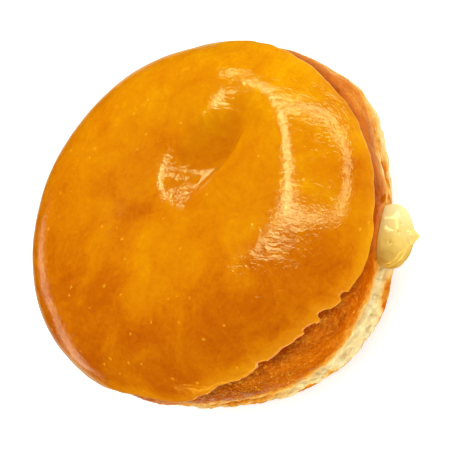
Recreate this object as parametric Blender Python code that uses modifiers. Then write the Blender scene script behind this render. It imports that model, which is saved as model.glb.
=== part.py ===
"""A glazed yeast doughnut with a cream filling.

The dough is one fried piece: a domed upper lobe, a pale waist left by the frying fat, a lower lobe and a
flat base. Its hole has closed to an off-centre dimple. Glaze covers the top and runs down the sides, and
cream fills a pocket and swells out of the filling hole at the waist.

The base rests on z = 0 and the filling hole faces -Y. A place on the dough is given by its reach, the
length along the section from the bottom of the dimple outwards, and by its turn, the angle round the
axis from the filling hole, anticlockwise seen from above. Sizes are in millimetres until MM is applied.
"""

import bpy
import numpy as np
from mathutils import Matrix, Vector

MM = 0.001
GAP = 0.3

# Section of the dough: radius from the axis and height above the base
CROWN_RADIUS = 24.0
CROWN_HEIGHT = 42.6
UPPER_RADIUS = 45.4
UPPER_WIDEST = 26.0
LIP_RADIUS = 44.2
LIP_HEIGHT = 16.5
CREASE_RADIUS = 42.2
BAND_RADIUS = 43.1
LOWER_RADIUS = 43.5
LOWER_WIDEST = 10.0
BASE_RADIUS = 25.0
LOBE_ROUNDNESS = 2.1
FLANK_HEIGHT = 4.0
CREASE_DROP = 0.9
BAND_DROP = 3.0
SHOULDER_HEIGHT = 1.6

# Closed dimple, off the axis: a slit with a gentle slope behind and a steep, nearly straight wall in front
DIMPLE_RADIUS = 10.5
DIMPLE_DEPTH = 5.5
HOLLOW_DEPTH = 1.6
DIMPLE_OFFSET = 13.5
DIMPLE_TURN = 56.0
DRIFT_RADIUS = 42.0
FRONT_TURN = -40.0
FRONT_LEAN = 0.6
FRONT_FLATNESS = 0.5
FLAT_RADIUS = 8.0
SLIT_STRETCH = 0.8
SLIT_SPREAD = 13.0

# Waves in the outline: how many round the rim, share of the radius, turn of the first crest
OUTLINE_WAVES = (
    (2, 0.020, 29.0),
    (3, 0.018, -38.0),
    (4, 0.016, -40.0),
    (6, 0.006, 6.0),
    (7, 0.005, 9.0),
)
LIP_TILT = 3.2
LIP_TILT_TURN = 74.0
LIP_TILT_SPREAD = 10.0
TILT_FREE_BASE = 7.0

# Heights between which the dimple's drift and the swellings of the top set in
TOP_BLEND = (20.0, 34.0)
# Soft swellings of the top, negative for dents: x, y, radius, height
TOP_SWELLINGS = (
    (-3.5, 9.5, 7.0, -0.7),
    (-14.0, 8.5, 7.0, -0.5),
    (-26.0, -2.0, 8.0, -0.6),
    (-14.0, -14.0, 10.0, 0.7),
    (3.0, -19.0, 9.0, 0.4),
    (21.5, -16.0, 6.0, -0.9),
    (4.0, 27.0, 9.0, 0.6),
    (23.0, -6.0, 7.0, 1.9),
    (8.5, 0.5, 4.5, -0.6),
    (0.5, -4.5, 3.6, -1.6),
)
# Soft swellings of the side: turn, height, degrees and height they spread over, amount
SIDE_SWELLINGS = (
    (14.0, 14.0, 13.0, 12.0, 1.1),
    (46.0, 13.0, 16.0, 11.0, 3.7),
    (-28.0, 9.0, 30.0, 9.0, 1.7),
)
# Folds that gather the waist: how many round it, depth, drift of a fold with height
WAIST_FOLDS = ((13, 0.22, 1.0), (21, 0.16, -2.0), (29, 0.14, 3.0))
FOLD_HEIGHT = 12.5
FOLD_SPREAD = 3.5
FOLD_RADII = (36.0, 42.0)

# Glaze: how far it reaches down the dough at each turn, and the bites where two runs of it meet
GLAZE_THICKNESS = 0.9
GLAZE_BEAD = 0.4
EVEN_EDGE = 54.0
# The steps round the glaze gather about this turn, where the bites are
GATHER = 0.4
GATHER_TURN = -40.0
# The bead along the edge: distance past the edge, share of its full thickness
BEAD = ((-3.0, 1.0), (-1.2, 1.0), (-0.4, 0.75), (0.0, 0.35), (-0.2, 0.0))
GLAZE_EDGE = (
    (-170, 57.5),
    (-150, 60.5),
    (-130, 58.0),
    (-116, 56.0),
    (-106, 54.0),
    (-99, 54.2),
    (-91, 57.3),
    (-84, 56.5),
    (-74, 53.6),
    (-64, 52.2),
    (-46, 51.0),
    (-36, 52.6),
    (-28, 54.6),
    (-19, 57.0),
    (-8, 57.0),
    (2, 55.0),
    (15, 54.8),
    (28, 54.6),
    (42, 51.6),
    (56, 48.3),
    (72, 48.5),
    (90, 51.5),
    (110, 56.0),
    (130, 60.0),
    (150, 58.5),
    (170, 55.5),
)
GLAZE_NOTCHES = ((-24.0, 2.4, 3.2), (-33.0, 1.6, 3.0), (-39.0, 1.8, 3.0), (-56.0, 1.9, 4.5))

# Cream: the swell outside the hole with its drawn-out peak, the neck, and the pocket inside
HOLE_HEIGHT = 15.3
HOLE_RADIUS = 4.3
WALL_OUT = 44.0
SWELL_OUT = 6.8
SWELL_DEPTH = 5.4
SWELL_HALF_WIDTH = 8.0
SWELL_HALF_HEIGHT = 6.4
PEAK_OUT = 8.8
PEAK_RADIUS = 2.3
POCKET_CENTRE_OUT = 2.0
POCKET_HALF_LENGTH = 19.0
POCKET_HALF_WIDTH = 17.0
POCKET_HALF_HEIGHT = 8.0
NECK_START = 3.0
NECK_END = -20.0

# Fineness of the faces
DOUGH_STEPS = 68
GLAZE_STEPS = 72
CREAM_STEPS = 24

FINISHES = {
    "dough": ((0.48, 0.17, 0.035, 1.0), 0.6),
    "glaze": ((0.84, 0.31, 0.012, 1.0), 0.12),
    "cream": ((0.86, 0.66, 0.22, 1.0), 0.35),
}


def smoothstep(x, start, end):
    """Rises from 0 at start to 1 at end with level ends."""
    t = np.clip((x - start) / (end - start), 0.0, 1.0)
    return t * t * (3.0 - 2.0 * t)


def lobe_arc(centre, half_sides, start, end, count):
    """A quarter of a superellipse: centre plus half sides times cosine and sine, each to 2 / roundness."""
    angle = np.radians(np.linspace(start, end, count))
    way = np.stack([np.cos(angle), np.sin(angle)], axis=1)
    return np.array(centre) + np.array(half_sides) * np.sign(way) * np.abs(way) ** (2.0 / LOBE_ROUNDNESS)


def smooth_line(points, per_span=12):
    """A Catmull-Rom curve through the points: on each span the cubic whose slope at a point is half the
    step between that point's two neighbours."""
    points = np.array(points, float)
    padded = np.vstack([2 * points[0] - points[1], points, 2 * points[-1] - points[-2]])
    t = np.linspace(0.0, 1.0, per_span, endpoint=False)[:, None]
    spans = []
    for before, here, there, after in zip(padded, padded[1:], padded[2:], padded[3:]):
        bend = 2 * before - 5 * here + 4 * there - after
        twist = 3 * here - before - 3 * there + after
        spans.append(0.5 * (2 * here + (there - before) * t + bend * t**2 + twist * t**3))
    return np.vstack(spans + [points[-1:]])


def dough_section():
    """Reach, radius and height along the section, from the dimple over the crown and down to the base."""
    radius = np.linspace(0.0, CROWN_RADIUS, 80)
    height = CROWN_HEIGHT - DIMPLE_DEPTH * (1 - smoothstep(radius, 0.0, DIMPLE_RADIUS))
    height -= HOLLOW_DEPTH * (1 - smoothstep(radius, 0.0, CROWN_RADIUS))
    dimple = np.stack([radius, height], axis=1)
    upper = lobe_arc(
        (CROWN_RADIUS, UPPER_WIDEST),
        (UPPER_RADIUS - CROWN_RADIUS, CROWN_HEIGHT - UPPER_WIDEST),
        90,
        0,
        60,
    )
    waist = smooth_line(
        (
            (UPPER_RADIUS, UPPER_WIDEST),
            (UPPER_RADIUS - 0.1, UPPER_WIDEST - FLANK_HEIGHT),
            (LIP_RADIUS, LIP_HEIGHT),
            (CREASE_RADIUS, LIP_HEIGHT - CREASE_DROP),
            (BAND_RADIUS, LIP_HEIGHT - BAND_DROP),
            (LOWER_RADIUS - 0.1, LOWER_WIDEST + SHOULDER_HEIGHT),
            (LOWER_RADIUS, LOWER_WIDEST),
        )
    )
    lower = lobe_arc((BASE_RADIUS, LOWER_WIDEST), (LOWER_RADIUS - BASE_RADIUS, LOWER_WIDEST), 0, -90, 40)
    base = np.array([(BASE_RADIUS, 0.0), (0.0, 0.0)])
    line = np.vstack([dimple, upper[1:], waist[1:], lower[1:], base[1:]])
    reach = np.concatenate([[0.0], np.cumsum(np.hypot(*np.diff(line, axis=0).T))])
    return reach, line[:, 0], line[:, 1]


REACH, RADIUS, HEIGHT = dough_section()
BASE_REACH = REACH[-2]
LIP_REACH = np.interp(-LIP_HEIGHT, -HEIGHT[100:-1], REACH[100:-1])


def towards(turn_degrees):
    """Unit step from the axis at a turn: sine along X, minus cosine along Y."""
    turn = np.radians(turn_degrees)
    return np.sin(turn), -np.cos(turn)


def bulge(x, y, z):
    """Height added to the top: the sum of the swellings, each a bell over its centre."""
    added = np.zeros_like(x)
    for centre_x, centre_y, size, height in TOP_SWELLINGS:
        apart = (x - centre_x) ** 2 + (y - centre_y) ** 2
        added += height * np.exp(-apart / size**2)
    return added * smoothstep(z, *TOP_BLEND)


def side_bulge(height, turn):
    """Radius added to the side: the sum of the side swellings, each a bell over its turn and height."""
    added = np.zeros_like(turn)
    for centre, level, wide, tall, amount in SIDE_SWELLINGS:
        round_by = (np.degrees(turn) - centre + 180.0) % 360.0 - 180.0
        added += amount * np.exp(-((round_by / wide) ** 2) - ((height - level) / tall) ** 2)
    return added


def uneven(radius, height, turn):
    """Carries a point of the round form to its place on the uneven doughnut.

    The radius is scaled by the outline's waves, more so further out, and the waist is folded. On the top
    the rings drift towards the dimple as they close in, stretch along its slit, flatten on their front side
    and lean to the front as they go down. The lip is tilted, and the top swells and dents."""
    waves = sum(share * np.cos(many * (turn - np.radians(first))) for many, share, first in OUTLINE_WAVES)
    outer = (radius / UPPER_RADIUS) ** 2
    out = radius * (1 + waves * outer) + side_bulge(height, turn) * outer**2
    at_waist = np.exp(-(((height - FOLD_HEIGHT) / FOLD_SPREAD) ** 2)) * smoothstep(radius, *FOLD_RADII)
    for many, depth, drift in WAIST_FOLDS:
        out = out + depth * at_waist * np.sin(many * turn + drift * height)
    on_top = smoothstep(height, *TOP_BLEND)
    inward = (1 - np.clip(radius / DRIFT_RADIUS, 0, 1) ** 2) ** 2
    down = 1 - smoothstep(radius, 0.0, DIMPLE_RADIUS)
    narrow = on_top * np.exp(-((radius / SLIT_SPREAD) ** 2))
    from_front = turn - np.radians(FRONT_TURN)
    flat = FRONT_FLATNESS * narrow * smoothstep(radius, 0.0, FLAT_RADIUS)
    flat = flat * smoothstep(np.cos(from_front), -0.6, 0.6)
    along = out * np.sin(from_front) * (1 + SLIT_STRETCH * narrow)
    ahead = out * np.cos(from_front) * (1 - flat) + FRONT_LEAN * on_top * down
    aside = DIMPLE_OFFSET * on_top * inward
    ways = zip(towards(FRONT_TURN + 90.0), towards(FRONT_TURN), towards(DIMPLE_TURN))
    x, y = (along * slit + ahead * front + aside * dimple for slit, front, dimple in ways)
    at_lip = np.exp(-(((height - LIP_HEIGHT) / LIP_TILT_SPREAD) ** 2))
    at_lip = at_lip * smoothstep(height, 0.0, TILT_FREE_BASE)
    tilt = LIP_TILT * at_lip * np.cos(turn - np.radians(LIP_TILT_TURN))
    z = height + tilt + bulge(x, y, height)
    return np.stack([x, y, z], axis=-1)


def on_dough(reach, turn, off=0.0):
    """The point of the dough's skin at this reach and turn, moved off it along the surface's normal, which
    is the cross product of the steps along the reach and round the turn."""

    def place(reach, turn):
        return uneven(np.interp(reach, REACH, RADIUS), np.interp(reach, REACH, HEIGHT), turn)

    step, swing = 0.25, 0.01
    along = place(reach + step, turn) - place(np.maximum(reach - step, 0.02), turn)
    ring = np.maximum(reach, 0.3)
    around = place(ring, turn + swing) - place(ring, turn - swing)
    normal = np.cross(along, around)
    normal /= np.linalg.norm(normal, axis=-1, keepdims=True)
    return place(reach, turn) + normal * np.asarray(off)[..., None]


def glaze_reach(turn):
    """How far the glaze comes down at a turn: a smooth closed line through the edge points, less a bite at
    each notch that is steep on its left side and fades to its right."""
    first, last = GLAZE_EDGE[0], GLAZE_EDGE[-1]
    points = [(last[0] - 360.0, last[1]), *GLAZE_EDGE, (first[0] + 360.0, first[1])]
    line = smooth_line(points)
    degrees = (np.degrees(turn) + 180.0) % 360.0 - 180.0
    reach = np.interp(degrees, line[:, 0], line[:, 1])
    for place, depth, width in GLAZE_NOTCHES:
        from_notch = (degrees - place) / width
        side = np.where(from_notch < 0, 0.4, 1.0)
        reach = reach - depth * np.exp(-((from_notch / side) ** 2))
    return reach


def evenly(start, end, spacing):
    """Values from start to end, about this far apart, both ends kept."""
    return np.linspace(start, end, max(2, round((end - start) / spacing) + 1))


def new_collection(name):
    collection = bpy.data.collections.new(name)
    bpy.context.scene.collection.children.link(collection)
    return collection


def turned_mesh(name, profile, steps):
    """The closed mesh that a Screw makes of a profile, which runs from the axis down its outer side and
    back to the axis. The profile is in millimetres and the mesh in metres."""
    outline = bpy.data.meshes.new(name)
    points = [(radius * MM, 0.0, height * MM) for radius, height in profile]
    outline.from_pydata(points, [(i, i + 1) for i in range(len(points) - 1)], [])
    blank = bpy.data.objects.new(name + "_blank", outline)
    bpy.context.scene.collection.objects.link(blank)
    screw = blank.modifiers.new("turned", "SCREW")
    screw.steps = steps
    screw.render_steps = steps
    screw.use_merge_vertices = True
    screw.merge_threshold = 0.00001
    screw.use_normal_calculate = False
    graph = bpy.context.evaluated_depsgraph_get()
    mesh = bpy.data.meshes.new_from_object(blank.evaluated_get(graph))
    mesh.name = name
    bpy.data.objects.remove(blank)
    bpy.data.meshes.remove(outline)
    return mesh


def moved(mesh, move):
    """Puts every vertex where move says, from its radius, height and turn in millimetres."""
    flat = np.empty(len(mesh.vertices) * 3)
    mesh.vertices.foreach_get("co", flat)
    x, y, z = flat.reshape(-1, 3).T / MM
    placed = move(np.hypot(x, y), z, np.arctan2(x, -y)) * MM
    mesh.vertices.foreach_set("co", placed.ravel())
    mesh.update()
    return mesh


def solid(name, mesh, collection):
    obj = bpy.data.objects.new(name, mesh)
    collection.objects.link(obj)
    return obj


def helper(name, mesh, collection):
    """A cutter or a piece to join, left out of the finished part."""
    obj = solid(name, mesh, collection)
    obj.hide_render = True
    obj.display_type = "WIRE"
    return obj


def boolean(obj, other, operation):
    """Cuts or joins with the exact solver and keeps the outcome as the object's own mesh."""
    modifier = obj.modifiers.new(operation.lower(), "BOOLEAN")
    modifier.operation = operation
    modifier.object = other
    graph = bpy.context.evaluated_depsgraph_get()
    mesh = bpy.data.meshes.new_from_object(obj.evaluated_get(graph))
    obj.modifiers.clear()
    obj.data = mesh


def dough_mesh():
    """The dough's skin, with its rings close together in the dimple and round the lip."""
    rings = np.concatenate(
        [
            evenly(0.0, 12.0, 1.5),
            evenly(12.0, 44.0, 3.2)[1:],
            evenly(44.0, LIP_REACH - 2.0, 3.0)[1:],
            evenly(LIP_REACH - 2.0, LIP_REACH + 6.0, 1.0)[1:],
            evenly(LIP_REACH + 6.0, BASE_REACH, 3.0)[1:],
            REACH[-1:],
        ]
    )
    profile = zip(np.interp(rings, REACH, RADIUS), np.interp(rings, REACH, HEIGHT))
    return moved(turned_mesh("dough", profile, DOUGH_STEPS), uneven)


def grown(name, mesh, by):
    """A copy of the mesh with every vertex moved out along its normal."""
    copy = mesh.copy()
    copy.name = name
    normals = np.empty(len(copy.vertices) * 3)
    places = np.empty_like(normals)
    copy.vertex_normals.foreach_get("vector", normals)
    copy.vertices.foreach_get("co", places)
    copy.vertices.foreach_set("co", places + normals * by * MM)
    return copy


def glaze_mesh():
    """A round sheet with a beaded rim, turned flat and then draped on the dough.

    In the flat sheet the radius is the reach on a dough whose glaze comes down to the same reach all
    round, and the height is the distance off the dough. Draping stretches the radius to the edge there."""
    rim = GLAZE_THICKNESS + GLAZE_BEAD
    over = [(reach, GLAZE_THICKNESS) for reach in evenly(0.0, DIMPLE_RADIUS, 1.5)]
    over += [(reach, GLAZE_THICKNESS) for reach in evenly(DIMPLE_RADIUS, EVEN_EDGE - 5.0, 2.8)[1:]]
    bead = [(EVEN_EDGE + back, share * rim) for back, share in BEAD]
    under = [(reach, 0.0) for reach in evenly(0.0, EVEN_EDGE - 3.0, 3.0)[::-1]]

    def drape(radius, height, turn):
        turn = turn - GATHER * np.sin(turn - np.radians(GATHER_TURN))
        return on_dough(radius / EVEN_EDGE * glaze_reach(turn), turn, height + GAP)

    return moved(turned_mesh("glaze", over + bead + under, GLAZE_STEPS), drape)


def turned_out(name, profile, width):
    """A shape turned about the axis of the filling hole. The profile gives the half height at each
    distance out from the hole's mouth, and width says how many times wider the section is there."""
    mesh = turned_mesh(name, [(radius, out) for out, radius in profile], CREAM_STEPS)

    def lay(radius, out, turn):
        x = radius * np.sin(turn) * width(out)
        z = HOLE_HEIGHT - radius * np.cos(turn)
        return np.stack([x, -(WALL_OUT + out), z], axis=-1)

    return moved(mesh, lay)


def swell_profile():
    """From the tip of the peak over the round swell to well inside the wall."""
    centre = SWELL_OUT - SWELL_DEPTH
    peak = [(PEAK_OUT, 0.0), (PEAK_OUT - 0.25, 0.6), (PEAK_OUT - 1.1, 1.25)]
    start = np.arcsin(PEAK_RADIUS / SWELL_HALF_HEIGHT)
    angle = np.linspace(start, np.pi - start, 13)
    swell = zip(centre + SWELL_DEPTH * np.cos(angle), SWELL_HALF_HEIGHT * np.sin(angle))
    return [*peak, *swell, (centre - SWELL_DEPTH, 0.0)]


def filling_profile(extra):
    """The neck through the wall and the pocket behind it, grown by extra for the room they lie in."""
    deep = -(WALL_OUT - POCKET_CENTRE_OUT)
    radius = HOLE_RADIUS - GAP + extra
    neck = [(out, radius) for out in evenly(NECK_START, NECK_END, -8.0)]
    angle = np.linspace(0.4, np.pi, 12)
    pocket = zip(
        deep + (POCKET_HALF_LENGTH + extra) * np.cos(angle),
        (POCKET_HALF_HEIGHT + extra) * np.sin(angle),
    )
    return [(NECK_START, 0.0), *neck, *pocket]


def swell_width(out):
    """Full width over the round of the swell, back to a round section at the peak."""
    return 1 + (SWELL_HALF_WIDTH / SWELL_HALF_HEIGHT - 1) * (1 - smoothstep(out, 4.0, SWELL_OUT))


def filling_width(out):
    """A round neck that widens to the flat oval of the pocket."""
    return 1 + (POCKET_HALF_WIDTH / POCKET_HALF_HEIGHT - 1) * smoothstep(-out, 16.0, 30.0)


def build():
    parts = new_collection("cream_filled_doughnut")
    helpers = new_collection("helpers")
    skin = dough_mesh()
    dough = solid("dough", skin, parts)
    cream = solid("cream", turned_out("cream", swell_profile(), swell_width), parts)
    wall = helper("wall", grown("wall", skin, GAP), helpers)
    filling = helper("filling", turned_out("filling", filling_profile(0.0), filling_width), helpers)
    room = helper("room", turned_out("room", filling_profile(GAP), filling_width), helpers)
    boolean(cream, wall, "DIFFERENCE")
    boolean(cream, filling, "UNION")
    boolean(dough, room, "DIFFERENCE")
    glaze = solid("glaze", glaze_mesh(), parts)
    for obj in (wall, filling, room):
        bpy.data.objects.remove(obj)
    bpy.data.collections.remove(helpers)
    return dough, glaze, cream


def centre_on_base(objects):
    """Slides the part so that the middle of its box's underside is the origin."""
    corners = np.array([corner for obj in objects for corner in obj.bound_box])
    low, high = corners.min(axis=0), corners.max(axis=0)
    middle = Vector(((low[0] + high[0]) / 2, (low[1] + high[1]) / 2, low[2]))
    for obj in objects:
        obj.data.transform(Matrix.Translation(-middle))


def finish(obj):
    """Smooth shading and a plain material in the food's colour."""
    obj.data.shade_smooth()
    obj.data.set_sharp_from_angle(angle=np.radians(60))
    colour, roughness = FINISHES[obj.name]
    material = bpy.data.materials.new(obj.name)
    material.use_nodes = True
    shader = material.node_tree.nodes["Principled BSDF"]
    shader.inputs["Base Color"].default_value = colour
    shader.inputs["Roughness"].default_value = roughness
    shader.inputs["Metallic"].default_value = 0.0
    obj.data.materials.clear()
    obj.data.materials.append(material)


for leftover in list(bpy.data.objects):
    bpy.data.objects.remove(leftover)
pieces = build()
centre_on_base(pieces)
for piece in pieces:
    finish(piece)
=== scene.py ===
import math

import bpy
import numpy as np
from mathutils import Matrix, Vector


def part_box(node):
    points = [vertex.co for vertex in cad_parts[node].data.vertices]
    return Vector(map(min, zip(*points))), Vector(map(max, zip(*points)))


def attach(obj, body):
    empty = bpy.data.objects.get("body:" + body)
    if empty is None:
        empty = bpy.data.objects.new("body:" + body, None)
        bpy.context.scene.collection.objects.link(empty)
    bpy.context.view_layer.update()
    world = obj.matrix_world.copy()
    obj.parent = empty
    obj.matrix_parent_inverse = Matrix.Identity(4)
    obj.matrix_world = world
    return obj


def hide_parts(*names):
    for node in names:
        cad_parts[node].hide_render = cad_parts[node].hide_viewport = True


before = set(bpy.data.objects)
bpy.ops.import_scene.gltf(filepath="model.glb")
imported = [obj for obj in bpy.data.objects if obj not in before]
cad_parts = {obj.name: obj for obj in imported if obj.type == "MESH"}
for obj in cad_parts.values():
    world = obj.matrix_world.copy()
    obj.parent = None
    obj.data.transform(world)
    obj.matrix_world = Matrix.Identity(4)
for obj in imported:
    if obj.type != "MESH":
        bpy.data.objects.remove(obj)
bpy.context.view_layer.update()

# The dough: one piece of yeast dough, raised and fried on both sides. The fat leaves a browned lobe above
# and below and a pale, gathered waist between them, and the hole has closed to a slit off the centre.

# Sizes are in millimetres. A place on the skin is a reach, the length along the section from the bottom of
# the dimple outwards, and a turn, the angle round the axis from the filling hole, anticlockwise from above,
# which the tables give in degrees.
MM = 0.001
CROWN_RADIUS = 24.0
CROWN_HEIGHT = 42.6
UPPER_RADIUS = 45.4
UPPER_WIDEST = 26.0
LIP_RADIUS = 44.2
LIP_HEIGHT = 16.5
CREASE_RADIUS = 42.2
BAND_RADIUS = 43.1
LOWER_RADIUS = 43.5
LOWER_WIDEST = 10.0
BASE_RADIUS = 25.0
LOBE_ROUNDNESS = 2.1
FLANK_HEIGHT = 4.0
FLANK_INSET = 0.1
CREASE_DROP = 0.9
BAND_DROP = 3.0
SHOULDER_HEIGHT = 1.6
CROWN_STEPS = 80
UPPER_STEPS = 60
LOWER_STEPS = 40

DIMPLE_RADIUS = 10.5
DIMPLE_DEPTH = 5.5
HOLLOW_DEPTH = 1.6
DIMPLE_OFFSET = 13.5
DIMPLE_TURN = 56.0
DRIFT_RADIUS = 42.0
FRONT_TURN = -40.0
FRONT_LEAN = 0.6
FRONT_FLATNESS = 0.5
FLAT_RADIUS = 8.0
SLIT_STRETCH = 0.8
SLIT_SPREAD = 13.0
# Cosines of the angle from the front between which the dimple's front side comes in
FRONT_SIDE = (-0.6, 0.6)

# Waves of the outline: how many go round, share of the radius, and turn of the first crest
OUTLINE_WAVES = (
    (2, 0.020, 29.0),
    (3, 0.018, -38.0),
    (4, 0.016, -40.0),
    (6, 0.006, 6.0),
    (7, 0.005, 9.0),
)

LIP_TILT = 3.2
LIP_TILT_TURN = 74.0
LIP_TILT_SPREAD = 10.0
TILT_FREE_BASE = 7.0
TOP_BLEND = (20.0, 34.0)
# Swellings and dents of the top: place from the axis, size and height
TOP_SWELLINGS = (
    (-3.5, 9.5, 7.0, -0.7),
    (-14.0, 8.5, 7.0, -0.5),
    (-26.0, -2.0, 8.0, -0.6),
    (-14.0, -14.0, 10.0, 0.7),
    (3.0, -19.0, 9.0, 0.4),
    (21.5, -16.0, 6.0, -0.9),
    (4.0, 27.0, 9.0, 0.6),
    (23.0, -6.0, 7.0, 1.9),
    (8.5, 0.5, 4.5, -0.6),
    (0.5, -4.5, 3.6, -1.6),
)
# Swellings of the side: turn, height, degrees and height they cover, and how far they stand out
SIDE_SWELLINGS = (
    (14.0, 14.0, 13.0, 12.0, 1.1),
    (46.0, 13.0, 16.0, 11.0, 3.7),
    (-28.0, 9.0, 30.0, 9.0, 1.7),
)
# Upright folds of the waist: how many go round, depth, and how they slant
WAIST_FOLDS = ((13, 0.22, 1.0), (21, 0.16, -2.0), (29, 0.14, 3.0))
FOLD_HEIGHT = 12.5
FOLD_SPREAD = 3.5
FOLD_RADII = (36.0, 42.0)


def smoothstep(x, start, end):
    """Rises from 0 at start to 1 at end with level ends."""
    t = np.clip((x - start) / (end - start), 0.0, 1.0)
    return t * t * (3.0 - 2.0 * t)


def bell(x, middle, spread):
    """A hill of height 1 over middle: e to the minus square of the distance over the spread."""
    return np.exp(-(((x - middle) / spread) ** 2))


def lobe_arc(centre, half_sides, start, end, count):
    """A quarter of a superellipse: centre plus half sides times cosine and sine, each to 2 / roundness."""
    angle = np.radians(np.linspace(start, end, count))
    way = np.stack([np.cos(angle), np.sin(angle)], axis=1)
    return np.array(centre) + np.array(half_sides) * np.sign(way) * np.abs(way) ** (2.0 / LOBE_ROUNDNESS)


def smooth_line(points, per_span=12):
    """A Catmull-Rom curve through the points: on each span the cubic whose slope at a point is half the
    step between that point's two neighbours."""
    points = np.array(points, float)
    padded = np.vstack([2 * points[0] - points[1], points, 2 * points[-1] - points[-2]])
    t = np.linspace(0.0, 1.0, per_span, endpoint=False)[:, None]
    spans = []
    for before, here, there, after in zip(padded, padded[1:], padded[2:], padded[3:]):
        bend = 2 * before - 5 * here + 4 * there - after
        twist = 3 * here - before - 3 * there + after
        spans.append(0.5 * (2 * here + (there - before) * t + bend * t**2 + twist * t**3))
    return np.vstack(spans + [points[-1:]])


def dough_section():
    """Reach, radius and height along the section, from the dimple over the crown and down to the base."""
    radius = np.linspace(0.0, CROWN_RADIUS, CROWN_STEPS)
    height = CROWN_HEIGHT - DIMPLE_DEPTH * (1 - smoothstep(radius, 0.0, DIMPLE_RADIUS))
    height -= HOLLOW_DEPTH * (1 - smoothstep(radius, 0.0, CROWN_RADIUS))
    dimple = np.stack([radius, height], axis=1)
    upper = lobe_arc(
        (CROWN_RADIUS, UPPER_WIDEST),
        (UPPER_RADIUS - CROWN_RADIUS, CROWN_HEIGHT - UPPER_WIDEST),
        90,
        0,
        UPPER_STEPS,
    )
    waist = smooth_line(
        (
            (UPPER_RADIUS, UPPER_WIDEST),
            (UPPER_RADIUS - FLANK_INSET, UPPER_WIDEST - FLANK_HEIGHT),
            (LIP_RADIUS, LIP_HEIGHT),
            (CREASE_RADIUS, LIP_HEIGHT - CREASE_DROP),
            (BAND_RADIUS, LIP_HEIGHT - BAND_DROP),
            (LOWER_RADIUS - FLANK_INSET, LOWER_WIDEST + SHOULDER_HEIGHT),
            (LOWER_RADIUS, LOWER_WIDEST),
        )
    )
    half_sides = (LOWER_RADIUS - BASE_RADIUS, LOWER_WIDEST)
    lower = lobe_arc((BASE_RADIUS, LOWER_WIDEST), half_sides, 0, -90, LOWER_STEPS)
    base = np.array([(BASE_RADIUS, 0.0), (0.0, 0.0)])
    line = np.vstack([dimple, upper[1:], waist[1:], lower[1:], base[1:]])
    reach = np.concatenate([[0.0], np.cumsum(np.hypot(*np.diff(line, axis=0).T))])
    return reach, line[:, 0], line[:, 1]


REACH, RADIUS, HEIGHT = dough_section()
BASE_REACH = REACH[-2]
# Past the crown the section only falls, so that each height has one reach
PAST_CROWN = slice(CROWN_STEPS + 20, -1)
LIP_REACH = np.interp(-LIP_HEIGHT, -HEIGHT[PAST_CROWN], REACH[PAST_CROWN])


def towards(turn_degrees):
    """Unit step from the axis at a turn: sine along X, minus cosine along Y."""
    turn = np.radians(turn_degrees)
    return np.sin(turn), -np.cos(turn)


def from_turn(turn, centre):
    """Degrees round from the centre, from -180 to 180."""
    return (np.degrees(turn) - centre + 180.0) % 360.0 - 180.0


def bulge(x, y, z):
    """Height added to the top: the sum of the swellings, each a bell over its centre."""
    added = np.zeros_like(x)
    for centre_x, centre_y, size, height in TOP_SWELLINGS:
        apart = (x - centre_x) ** 2 + (y - centre_y) ** 2
        added += height * np.exp(-apart / size**2)
    return added * smoothstep(z, *TOP_BLEND)


def side_bulge(height, turn):
    """Radius added to the side: the sum of the side swellings, each a bell over its turn and height."""
    added = np.zeros_like(turn)
    for centre, level, wide, tall, amount in SIDE_SWELLINGS:
        added += amount * bell(from_turn(turn, centre), 0.0, wide) * bell(height, level, tall)
    return added


def uneven(radius, height, turn):
    """Carries a point of the round form to its place on the uneven doughnut.

    The radius is scaled by the outline's waves, more so further out, and the waist is folded. On the top
    the rings drift towards the dimple as they close in, stretch along its slit, flatten on their front side
    and lean to the front as they go down. The lip is tilted, and the top swells and dents."""
    waves = sum(share * np.cos(many * (turn - np.radians(first))) for many, share, first in OUTLINE_WAVES)
    outer = (radius / UPPER_RADIUS) ** 2
    out = radius * (1 + waves * outer) + side_bulge(height, turn) * outer**2
    at_waist = bell(height, FOLD_HEIGHT, FOLD_SPREAD) * smoothstep(radius, *FOLD_RADII)
    for many, depth, drift in WAIST_FOLDS:
        out = out + depth * at_waist * np.sin(many * turn + drift * height)
    on_top = smoothstep(height, *TOP_BLEND)
    inward = (1 - np.clip(radius / DRIFT_RADIUS, 0, 1) ** 2) ** 2
    down = 1 - smoothstep(radius, 0.0, DIMPLE_RADIUS)
    narrow = on_top * np.exp(-((radius / SLIT_SPREAD) ** 2))
    from_front = turn - np.radians(FRONT_TURN)
    flat = FRONT_FLATNESS * narrow * smoothstep(radius, 0.0, FLAT_RADIUS)
    flat = flat * smoothstep(np.cos(from_front), *FRONT_SIDE)
    along = out * np.sin(from_front) * (1 + SLIT_STRETCH * narrow)
    ahead = out * np.cos(from_front) * (1 - flat) + FRONT_LEAN * on_top * down
    aside = DIMPLE_OFFSET * on_top * inward
    ways = zip(towards(FRONT_TURN + 90.0), towards(FRONT_TURN), towards(DIMPLE_TURN))
    x, y = (along * slit + ahead * front + aside * dimple for slit, front, dimple in ways)
    at_lip = bell(height, LIP_HEIGHT, LIP_TILT_SPREAD) * smoothstep(height, 0.0, TILT_FREE_BASE)
    tilt = LIP_TILT * at_lip * np.cos(turn - np.radians(LIP_TILT_TURN))
    z = height + tilt + bulge(x, y, height)
    return np.stack([x, y, z], axis=-1)


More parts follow.
